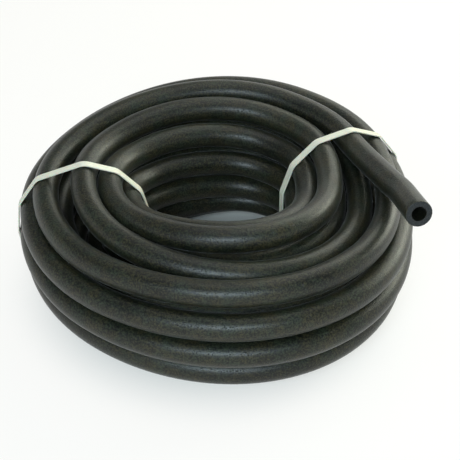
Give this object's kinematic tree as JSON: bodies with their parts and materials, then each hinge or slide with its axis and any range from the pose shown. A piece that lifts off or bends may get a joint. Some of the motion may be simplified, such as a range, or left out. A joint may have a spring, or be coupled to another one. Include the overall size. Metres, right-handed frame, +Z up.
{
  "type": "soaker hose",
  "caption": "Thick-walled porous rubber soaker hose, wound by hand into a round coil with an open cut end, and held by flat plastic ties round the bundle.",
  "frame": {"origin": "middle of the part's box, on the surface that the coil lies on", "axes": "+Z up through the coil's centre, -Y the side that the free cut end points to, +X the side that the free end is on"},
  "size_m": [0.3494, 0.3584, 0.1507],
  "materials": {
    "hose_rubber": "matte, finely pitted charcoal rubber",
    "tie_nylon": "natural ivory nylon, slightly glossy"
  },
  "bodies": {
    "root": {"hose_coil": "hose_rubber", "free_end": "hose_rubber", "buried_end": "hose_rubber", "left_tie": "tie_nylon", "right_tie": "tie_nylon"}
  },
  "joints": []
}
